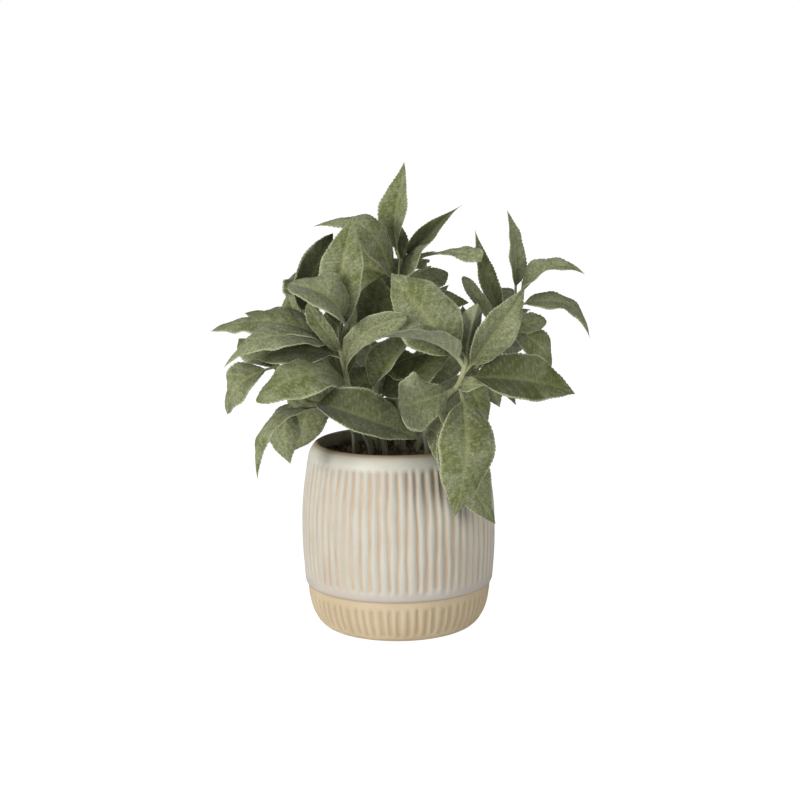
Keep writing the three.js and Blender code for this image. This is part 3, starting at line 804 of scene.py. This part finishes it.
def blade_outline(share, taper):
    """Half the blade's width at a share of its length, as a share of its widest half."""
    widest = OUTLINE_RISE / (OUTLINE_RISE + taper)
    top = widest**OUTLINE_RISE * (1 - widest) ** taper
    share = np.clip(share, 0, 1)
    return share**OUTLINE_RISE * (1 - share) ** taper / top


def pair_of(value):
    """A pair, or one value twice."""
    return value if isinstance(value, (list, tuple)) else (value, value)


def midrib(base, row, shares):
    """Points along a leaf, and the upward and sideways directions there."""
    _, tip, _, face, arch_low, arch_high, sway, _, twist = row[:9]
    sway_low, sway_high = pair_of(sway)
    tip = np.array(tip, dtype=float)
    chord = tip - base
    along = unit(chord)
    face = np.array(face, dtype=float)
    face = unit(face - along * face.dot(along))
    side = np.cross(face, along)
    low = base + chord * LOW_CONTROL + face * arch_low + side * sway_low
    high = base + chord * HIGH_CONTROL + face * arch_high + side * sway_high
    done = shares[:, None]
    left = 1 - done
    points = base * left**3 + 3 * low * done * left**2 + 3 * high * done**2 * left + tip * done**3
    slope = 3 * left**2 * (low - base) + 6 * done * left * (high - low) + 3 * done**2 * (tip - high)
    tangent = unit(slope)
    up = unit(face - tangent * (tangent @ face)[:, None])
    angle = math.radians(twist) * (done - 0.5)
    up = up * np.cos(angle) + np.cross(tangent, up) * np.sin(angle)
    return points, up, np.cross(up, tangent)


class Leaf:
    """One leaf's shape: a stalk that widens into a quilted, toothed blade.

    Grids have a row for each share of the length and a column for each place across, from -1 to 1."""

    def __init__(self, base, row, number, seed):
        self.base, self.row, self.number = base, row, number
        self.width = row[2]
        self.rng = np.random.default_rng(seed)
        self.reach = np.linalg.norm(np.array(row[1], dtype=float) - base)
        self.stalk = SMALL_STALK_SHARE if self.width < SMALL_LEAF else STALK_SHARE
        teeth = max(FEWEST_TEETH, round(self.reach * (1 - self.stalk) / TOOTH_PITCH))
        in_blade = np.linspace(0, BLADE_END, teeth * STEPS_PER_TOOTH + 1)
        in_stalk = np.linspace(0, self.stalk, STALK_ROWS, endpoint=False)
        self.blade = np.concatenate([np.zeros(STALK_ROWS), in_blade])
        self.shares = np.concatenate([in_stalk, self.stalk + (1 - self.stalk) * in_blade])
        self.half = self.width / 2 * blade_outline(self.blade, row[9] if len(row) > 9 else TAPER)
        self.fill = np.clip(self.half / FULL_BLADE, 0, 1)
        self.across, self.along = np.meshgrid(np.linspace(-1, 1, COLUMNS + 1), self.shares)
        self.inner = self.fill[:, None] * np.clip((1 - np.abs(self.across)) * QUILT_FADE, 0, 1)

    def edge(self, side):
        """How far one edge stands from the midrib: its teeth, and a slow wander."""
        rng, blade, half = self.rng, self.blade, self.half
        step = np.arange(len(blade)) - STALK_ROWS + side
        line = TOOTH_SHAPE[step % STEPS_PER_TOOTH] * TOOTH_DEPTH * rng.uniform(*TOOTH_RANGE, len(blade))
        for wander in EDGE_WANDERS:
            waves = rng.uniform(*wander["waves"])
            line = line + wander["size"] * half * np.sin(blade * waves + rng.uniform(*WANDER_START))
        in_stalk = STALK_HALF_WIDTH * np.clip(1 - blade / STALK_FADE, 0, 1)
        return np.maximum(half + self.fill * line, in_stalk)

    def reach_across(self):
        """The distance from the midrib to the edge, on the side that each column is on."""
        left, right = self.edge(0), self.edge(1)
        full = np.where(self.across < 0, left[:, None], right[:, None])
        return np.maximum(full, TIP_HALF_WIDTH)

    def waves(self):
        """The solid's broad waves, and ruffles along the edges."""
        across, half = self.across, self.half[:, None]
        solid_rows = round(FEWEST_BLADE_ROWS + self.width / WIDTH_PER_ROW) + LAST_ROW_GAP
        wave = EDGE_WAVE * np.sin(WAVE_PER_ROW * solid_rows * self.blade + self.number)[:, None]
        wave = wave * (half / WAVE_HALF_WIDTH) * np.where(across < 0, *SIDE_WAVES) * across**2
        starts = self.rng.uniform(0, ROUND_TURN, RUFFLE_DRAWS)
        for ruffle, start in zip(RUFFLES, starts):
            turn = self.reach * self.along / ruffle["length"] + start + ruffle["slant"] * across
            wave = wave + ruffle["size"] * np.sin(turn) * self.fill[:, None] * np.abs(across) ** RUFFLE_RISE
        return wave

    def between_veins(self):
        """0 on a side vein, and 1 midway to the next."""
        lanes = self.blade[:, None] * (FEWEST_VEIN_PAIRS + self.reach / VEIN_SPACING)
        lanes = lanes - np.abs(self.across) * VEIN_SLANT + VEIN_STAGGER * (self.across < 0)
        return np.abs(np.sin(np.pi * lanes))

    def rib(self, full):
        """1 on the midrib, and 0 beside it."""
        width = np.maximum(RIB_THINNEST, RIB_WIDTH * (1 - self.along))
        return np.exp(-((self.across * full / width) ** 2))

    def middle(self, full, between):
        """Points midway between the two faces, and the upward directions there."""
        across, half = self.across, self.half[:, None]
        left, right = np.radians(pair_of(self.row[7]))
        fold = np.where(across < 0, left, right) + math.radians(ROOT_FOLD) * (1 - self.blade[:, None]) ** 2
        quilt = QUILT_DEPTH * (between**QUILT_ROUNDNESS - QUILT_LEVEL) * self.inner
        quilt = quilt * np.clip(np.abs(across) * QUILT_FADE, 0, 1)
        pillow = PILLOW * half * (np.abs(across) - across**2)
        lift = np.abs(across) * full * np.sin(fold) + pillow + self.waves() + quilt
        flat = across * full * np.cos(fold)
        centre, up, beside = (line[:, None] for line in midrib(self.base, self.row, self.shares))
        return centre + beside * flat[..., None] + up * lift[..., None], up

    def in_stem(self):
        """1 where the stalk is round, and 0 where the blade is flat."""
        return np.clip((self.stalk * STALK_END - self.along) / (self.stalk * STALK_BLEND), 0, 1)

    def faces(self, middle, up, rib):
        """The points of the upper and the lower face."""
        across, along, in_stem = self.across, self.along, self.in_stem()
        thin = BLADE_THICKNESS * (1 - THINNER_EDGE * np.abs(across))
        round_part = STALK_THICKNESS * np.sqrt(np.clip(1 - (across * STALK_SQUEEZE) ** 2, 0, 1))
        thick = thin * (1 - in_stem) + round_part * in_stem
        thick = thick * np.clip((1 - along) * TIP_THINNING, TIP_THINNEST, 1)
        above = thick / 2 - RIB_GROOVE * rib * self.inner * (1 - RIB_GROOVE_FADE * along)
        below = thick / 2 + RIB_RAISED * rib * (1 - along) * self.fill[:, None]
        return middle + up * above[..., None], middle - up * below[..., None]


def end_quads(rows, sides):
    """The quads that close a leaf's root and its tip."""
    quads = []
    for first, root in ((0, True), ((rows - 1) * sides, False)):
        for column in range(COLUMNS):
            across = sides - 2 - column
            corners = (first + column, first + column + 1, first + across, first + across + 1)
            quads.append(corners if root else corners[::-1])
    return quads


def around(grid):
    """A grid's values at the points round a leaf, its upper face and then its lower one."""
    return np.concatenate([grid[:, ::-1], grid], axis=1).ravel()


def leaf_mesh(base, row, number, seed, grey, painted_shade):
    """One leaf's points, quads, paints and attributes."""
    leaf = Leaf(base, row, number, seed)
    full = leaf.reach_across()
    between = leaf.between_veins()
    rib = leaf.rib(full)
    middle, up = leaf.middle(full, between)
    top, bottom = leaf.faces(middle, up, rib)
    ring = np.concatenate([top[:, ::-1], bottom], axis=1)
    rows, sides = ring.shape[:2]
    quads = tube_quads(rows, sides)
    paint = [UPPER if (index % sides) <= COLUMNS else UNDERSIDE for index in range(len(quads))]
    paint += [UPPER] * (2 * COLUMNS)
    quads += end_quads(rows, sides)
    side_vein = SIDE_VEIN_TONE * np.exp(-((between / VEIN_WIDTH) ** 2)) * leaf.inner
    midvein = RIB_TONE * rib * (1 - RIB_TONE_FADE * leaf.along)
    vein = np.maximum(np.maximum(midvein, side_vein), leaf.in_stem())
    tone = (GREY_TONE if grey else 0.0) + TONE_RANGE * leaf.rng.random()
    attributes = {"across": around(leaf.across), "along": around(leaf.along), "vein": around(vein)}
    attributes["tone"] = np.full(rows * sides, tone)
    # 1 on leaves that get painted shade, as they stand in the shade of others
    attributes["painted_shade"] = np.full(rows * sides, 1.0 if painted_shade else 0.0)
    return ring.reshape(-1, 3), quads, paint, attributes


def stem_mesh(curve, nodes):
    """A slightly square, felted stem that swells where its leaves grow."""
    rows = int(curve.length / STEM_STEP)
    points, along = [], []
    ahead = np.array([0.0, 1.0, 0.0])
    for row in range(rows):
        share = row / (rows - 1)
        centre, way = curve.at(share), curve.way(share)
        ahead = unit(ahead - way * ahead.dot(way))
        beside = np.cross(way, ahead)
        radius = STEM_BASE_RADIUS + (STEM_TIP_RADIUS - STEM_BASE_RADIUS) * share
        swell = max(math.exp(-(((share - node) * curve.length / NODE_REACH) ** 2)) for node in nodes)
        past = max(0.0, (share - 1) * curve.length / STEM_END_ROUND + 1)
        end = math.sqrt(max(1 - past**2, STEM_END_LEAST))
        for side in range(STEM_SIDES):
            angle = 2 * math.pi * side / STEM_SIDES
            square = 1 + STEM_SQUARENESS * math.cos(4 * angle)
            reach = radius * square * (1 + NODE_SWELL * swell) * end
            points.append(centre + reach * (math.cos(angle) * ahead - math.sin(angle) * beside))
            along.append(share)
    quads = [quad[::-1] for quad in tube_quads(rows, STEM_SIDES)]
    quads.append(tuple(range(STEM_SIDES)))
    quads.append(tuple(reversed(range((rows - 1) * STEM_SIDES, rows * STEM_SIDES))))
    attributes = {key: np.zeros(len(points)) for key in ("across", "vein", "tone", "painted_shade")}
    attributes["along"] = np.array(along)
    return np.array(points), quads, [STEM_FELT] * len(quads), attributes


def joined(parts):
    """Points, quads, paints and attributes of several parts as those of one."""
    points, quads, paint = [], [], []
    attributes = {key: [] for key in parts[0][3]}
    first = 0
    for part_points, part_quads, part_paint, part_attributes in parts:
        points.append(part_points)
        quads += [tuple(first + corner for corner in quad) for quad in part_quads]
        paint += part_paint
        for key, values in part_attributes.items():
            attributes[key].append(values)
        first += len(part_points)
    together = {key: np.concatenate(values) for key, values in attributes.items()}
    return np.concatenate(points), quads, paint, together


def leafy_stem(stem, index, paints):
    """A stem with its leaves, as one piece that stands for its solid."""
    curve = StemCurve(stem["route"])
    rows = stem["leaves"] if "leaves" in stem else paired_rows(stem, curve)
    nodes = [curve.above_soil(row[0]) for row in rows]
    parts = [stem_mesh(curve, nodes)]
    for number, (row, node) in enumerate(zip(rows, nodes)):
        grey, painted_shade = (number in stem.get(key, ()) for key in ("grey", "painted_shade"))
        seed = SEEDS_PER_STEM * (index + 1) + number
        parts.append(leaf_mesh(curve.at(node), row, number, seed, grey, painted_shade))
    points, quads, paint, attributes = joined(parts)
    made = mesh_object(stem["name"].replace("leafy_stem", "sage"), points, quads, paints, paint, attributes)
    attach(made, "root")
    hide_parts(stem["name"])
    return made


def outline_points(outline, spacing):
    """Points along a smooth line through an outline's corners, about a spacing apart."""
    corners = np.array(outline, dtype=float)
    steps = np.linalg.norm(np.diff(corners, axis=0), axis=1)
    lengths = np.concatenate([[0], np.cumsum(steps)])
    places = []
    for low, high in zip(lengths[:-1], lengths[1:]):
        count = max(1, round((high - low) / spacing))
        places += list(np.linspace(low, high, count, endpoint=False))
    places.append(lengths[-1])
    slope = np.gradient(corners, lengths, axis=0)
    made = []
    for place in places:
        index = min(np.searchsorted(lengths, place, side="right") - 1, len(steps) - 1)
        size = steps[index]
        done = (place - lengths[index]) / size
        start, end = corners[index], corners[index + 1]
        made.append(
            (2 * done**3 - 3 * done**2 + 1) * start + (done**3 - 2 * done**2 + done) * size * slope[index]
            + (3 * done**2 - 2 * done**3) * end + (done**3 - done**2) * size * slope[index + 1]
        )
    return np.array(made)


def band_strength(height, band, shift):
    """1 within a band of grooves, fading to 0 at its ends, which wander a little from groove to groove."""
    rise = (height - band["low"] - shift) / band["fade"]
    fall = (band["high"] + TOP_UNEVEN * shift - height) / band["fade"]
    step = np.clip(np.minimum(rise, fall), 0, 1)
    return step * step * (3 - 2 * step)


def groove_wave(kind, rise, draw):
    """A wave up each groove, shifted by that groove's draw."""
    return kind["size"] * np.sin(kind["wave"] * rise + kind["shift"] * draw)


def groove_field(radius, height, outside):
    """How far each point of the wall is cut into by the carved grooves, 0 to 1."""
    rng = np.random.default_rng(GROOVE_SEED)
    sides = GROOVES * STEPS_PER_GROOVE
    turn = np.arange(sides) * 2 * math.pi / sides
    pitch = 2 * math.pi / GROOVES
    number = np.round(turn / pitch).astype(int) % GROOVES
    lean, bend, phase, broad, shift = (rng.uniform(-1, 1, GROOVES)[number] for _ in range(5))
    rise = height[:, None] / WANDER_HEIGHT
    centre = GROOVE_LEAN * lean * (rise - 1) + bend * groove_wave(GROOVE_BEND, rise, phase)
    centre = centre + groove_wave(GROOVE_QUIVER, rise, phase)
    off = (turn / pitch - np.round(turn / pitch))[None] - centre
    away = off * pitch * np.maximum(radius, 1)[:, None]
    half = GROOVE_HALF_WIDTH * (1 + GROOVE_BROADER * broad + groove_wave(GROOVE_SWELLING, rise, lean))
    glazed = band_strength(height[:, None], GLAZED_GROOVE, GLAZED_UNEVEN * shift**3)
    clay = band_strength(height[:, None], CLAY_GROOVE, CLAY_UNEVEN * shift)
    return np.exp(-((away / half) ** 2)) * np.maximum(glazed, clay) * outside[:, None], turn


def close_ends(quads, rows, sides, low, high):
    """Closes a tube's two ends with triangles to a middle point each."""
    last = (rows - 1) * sides
    for side in range(sides):
        beside = (side + 1) % sides
        quads.append((low, beside, side))
        quads.append((high, last + side, last + beside))


def pot(paints):
    """The thrown pot, one closed skin of bare clay, glaze and inside wall."""
    clay = outline_points(CLAY_OUTLINE, CLAY_SPACING)
    glaze = outline_points(GLAZE_OUTLINE, GLAZE_SPACING)
    inside = outline_points(INSIDE_OUTLINE, INSIDE_SPACING)
    line = np.concatenate([clay[:-1], glaze[:-1], inside])[1:-1]
    radius, height = line[:, 0], line[:, 1]
    rim = len(clay) - 2 + int(np.argmax(glaze[:, 1]))
    outside = (np.arange(len(line)) < rim).astype(float)
    groove, turn = groove_field(radius, height, outside)
    wave = WALL_WAVE["depth"] * np.sin(WALL_WAVE["round"] * turn + WALL_WAVE["up"] * height[:, None])
    wall = radius[:, None] - GROOVE_DEPTH * groove + wave * outside[:, None]
    wall = np.minimum(wall, POT_RADIUS)
    level = np.broadcast_to(np.maximum(height, 0)[:, None], wall.shape)
    points = np.stack([wall * np.sin(turn), -wall * np.cos(turn), level], axis=-1).reshape(-1, 3)
    rows, sides = wall.shape
    quads = tube_quads(rows, sides)
    bare = (height < CLAY_TOP - SAME_HEIGHT) & (outside > 0)
    paint = [CLAY if bare[index // sides] else GLAZE for index in range(len(quads))] + [CLAY, GLAZE] * sides
    close_ends(quads, rows, sides, rows * sides, rows * sides + 1)
    points = np.concatenate([points, [[0, 0, line[0, 1]], [0, 0, line[-1, 1]]]])
    attributes = {}
    for key, grid in (("groove", groove), ("height", height[:, None]), ("inside", 1 - outside[:, None])):
        attributes[key] = np.concatenate([np.broadcast_to(grid, wall.shape).ravel(), [0, 0]])
    made = mesh_object("stoneware_pot", points, quads, paints, paint, attributes)
    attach(made, "root")
    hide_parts("pot")
    return made


def lumps(kind, x, y):
    """The height that one kind of lump adds, in millimetres."""
    place = Vector((x * kind["per_mm"], y * kind["per_mm"], kind["layer"]))
    return kind["height"] * noise.fractal(place, kind["roughness"], kind["finer"], kind["octaves"])


def soil_height(x, y):
    """How far the soil's top stands above or below its level, in millimetres."""
    return lumps(SOIL_ROLLING, x, y) + lumps(SOIL_GRAIN, x, y)


def crumb_mesh(rng, x, y, size):
    """A small closed lump of soil, pressed a little into the top."""
    corners, faces = CRUMB_BALL
    stretch = rng.uniform(*CRUMB_STRETCH, 3) * size
    bumps = 1 + rng.uniform(-CRUMB_BUMP, CRUMB_BUMP, len(corners))[:, None]
    turn = Euler(rng.uniform(0, ROUND_TURN, 3)).to_matrix()
    points = (corners * bumps * stretch) @ np.array(turn).T
    level = min(SOIL_TOP + soil_height(x, y), SOIL_TOP + CRUMB_HIGHEST)
    return points + np.array([x, y, level + CRUMB_SHOWN * size]), faces


def ball(subdivisions):
    """The corners and faces of a round ball of triangles."""
    shape = bmesh.new()
    bmesh.ops.create_icosphere(shape, subdivisions=subdivisions, radius=1)
    corners = np.array([tuple(vertex.co) for vertex in shape.verts])
    faces = [tuple(vertex.index for vertex in face.verts) for face in shape.faces]
    shape.free()
    return corners, faces


def soil_rows(wall):
    """Rings of points up the soil's side and in over its top."""
    reach = wall[-1][0]
    turn = np.arange(SOIL_SIDES) * 2 * math.pi / SOIL_SIDES
    circle = [(math.cos(angle), math.sin(angle)) for angle in turn]
    rows = [[(radius * x, radius * y, height) for x, y in circle] for radius, height in wall]
    for ring in range(SOIL_RINGS):
        radius = reach * (1 - ring / SOIL_RINGS)
        edge = min(1.0, (reach - radius) / SOIL_EDGE)
        places = [(radius * x, radius * y) for x, y in circle]
        rows.append([(x, y, SOIL_TOP + edge * soil_height(x, y)) for x, y in places])
    return np.array(rows)


def crumbs():
    """Loose crumbs, most of them small, spread over the top."""
    rng = np.random.default_rng(CRUMB_SEED)
    for _ in range(CRUMBS):
        radius, angle = CRUMB_REACH * math.sqrt(rng.random()), rng.uniform(0, 2 * math.pi)
        size = CRUMB_SMALLEST + CRUMB_GROWTH * rng.random() ** 3
        radius = min(radius, CRUMB_LIMIT - size)
        yield crumb_mesh(rng, radius * math.cos(angle), radius * math.sin(angle), size)


def soil(paint):
    """Soil from the pot's floor to an uneven, crumbly top, with loose crumbs on it."""
    wall = [(radius - SOIL_GAP, height + SOIL_GAP) for radius, height in SOIL_WALL]
    rows = soil_rows(wall)
    count = len(rows) * SOIL_SIDES
    points = [rows.reshape(-1, 3), np.array([[0, 0, wall[0][1]], [0, 0, SOIL_TOP + soil_height(0, 0)]])]
    quads = tube_quads(len(rows), SOIL_SIDES)
    close_ends(quads, len(rows), SOIL_SIDES, count, count + 1)
    first = count + 2
    for corners, faces in crumbs():
        points.append(corners)
        quads += [tuple(first + corner for corner in face) for face in faces]
        first += len(corners)
    made = mesh_object("potting_soil", np.concatenate(points), quads, [paint], [0] * len(quads), {})
    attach(made, "root")
    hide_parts("soil")
    return made


def floor(paint):
    """The plain floor that the pot stands on."""
    corners = [(-1, -1, 0), (1, -1, 0), (1, 1, 0), (-1, 1, 0)]
    points = np.array(corners) * FLOOR_REACH_MM - np.array([0, 0, FLOOR_GAP])
    made = mesh_object("floor", points, [(0, 1, 2, 3)], [paint], [0], {})


def camera():
    """The photograph's view."""
    lens = bpy.data.cameras.new("photo_view")
    lens.lens = LENS_MM
    lens.sensor_width = FILM_MM
    lens.clip_start = NEAREST_SEEN
    made = bpy.data.objects.new("photo_view", lens)
    down = Matrix.Rotation(math.pi / 2 - CAMERA_DOWN, 4, "X")
    roll = Matrix.Rotation(-CAMERA_ROLL, 4, "Z")
    made.matrix_world = Matrix.Translation(Vector(CAMERA_PLACE_MM) * MM) @ down @ roll
    bpy.context.scene.collection.objects.link(made)
    bpy.context.scene.camera = made


def soft_light(name, place, size, power, colour):
    """A square soft box aimed at the middle of the plant."""
    light = bpy.data.lights.new(name, "AREA")
    light.size = size
    light.energy = power
    light.color = colour
    made = bpy.data.objects.new(name, light)
    made.location = place
    towards = Vector(LIGHT_AIM) - Vector(place)
    made.rotation_euler = towards.to_track_quat("-Z", "Y").to_euler()
    bpy.context.scene.collection.objects.link(made)


def studio():
    """A white room, brightest at the front left, and a soft box at each side of the front."""
    world = bpy.data.worlds.new("white_room")
    world.use_nodes = True
    bpy.context.scene.world = world
    room = Nodes(world.node_tree)
    towards = Vector(LIGHT_FROM).normalized()
    way = room.node("ShaderNodeTexCoord", {}, output=0)
    facing = room.node("ShaderNodeVectorMath", {"operation": "DOT_PRODUCT"}, (way, tuple(towards)))
    amount = ROOM_DIM + (ROOM_BRIGHT - ROOM_DIM) * facing.smooth(*ROOM_FADE)
    lit = room.node("ShaderNodeBackground", {}, (WHITE, amount))
    plain = room.node("ShaderNodeBackground", {}, (WHITE, 1.0))
    seen = room.node("ShaderNodeLightPath", {})
    surface = room.node("ShaderNodeMixShader", {}, (seen, lit, plain))
    room.put(surface, room.tree.nodes["World Output"].inputs["Surface"])
    soft_light("soft_box_front_left", KEY_PLACE, KEY_SIZE, KEY_POWER, KEY_COLOUR)
    soft_light("soft_box_front_right", FILL_PLACE, FILL_SIZE, FILL_POWER, WHITE)
    bpy.context.scene.view_settings.view_transform = "Standard"


CRUMB_BALL = ball(subdivisions=2)
camera()
studio()
floor(floor_paint())
pot([clay_paint(), glaze_paint()])
soil(soil_paint())
leaf_paints = [leaf_upper_paint(), leaf_under_paint(), stem_paint()]
for index, stem in enumerate(DRAWN_STEMS + PAIRED_STEMS):
    leafy_stem(stem, index, leaf_paints)
